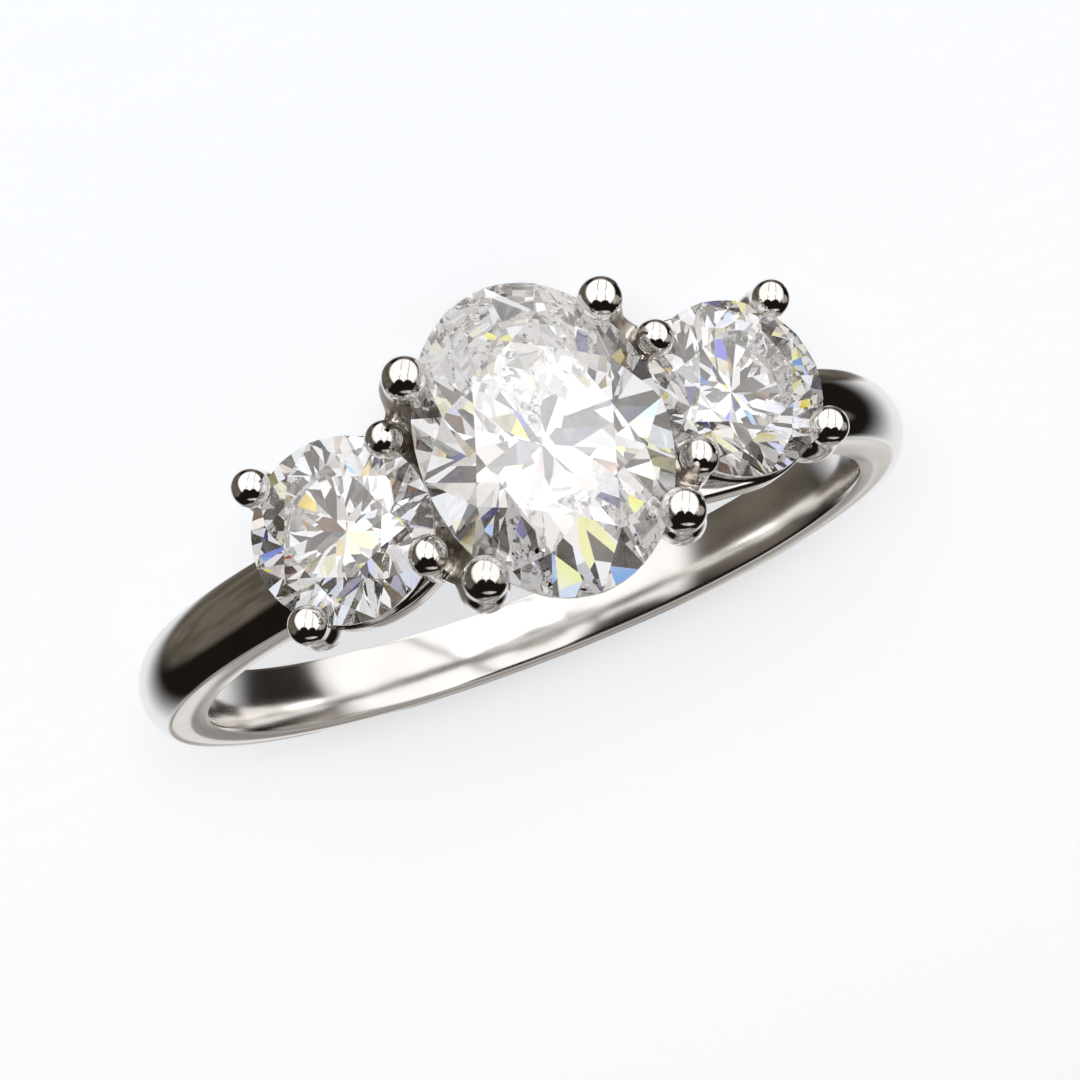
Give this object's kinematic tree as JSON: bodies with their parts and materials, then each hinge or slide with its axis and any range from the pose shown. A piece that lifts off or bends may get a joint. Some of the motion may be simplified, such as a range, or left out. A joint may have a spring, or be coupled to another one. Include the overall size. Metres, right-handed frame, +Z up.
{
  "type": "three stone ring",
  "caption": "Finger ring lying on its side: a domed polished band, split claw posts and gallery rails holding an oval stone between two round ones.",
  "frame": {"origin": "centre of the finger hollow", "axes": "+X along the row of stones, -Y out through the head with its stones, +Z up from the surface that the ring lies on"},
  "size_m": [0.0202, 0.0238, 0.007],
  "materials": {
    "white_metal": "mirror polished",
    "clear_stone": "cut and polished"
  },
  "bodies": {
    "root": {"ring_mount": "white_metal", "centre_stone": "clear_stone", "left_stone": "clear_stone", "right_stone": "clear_stone"}
  },
  "joints": []
}
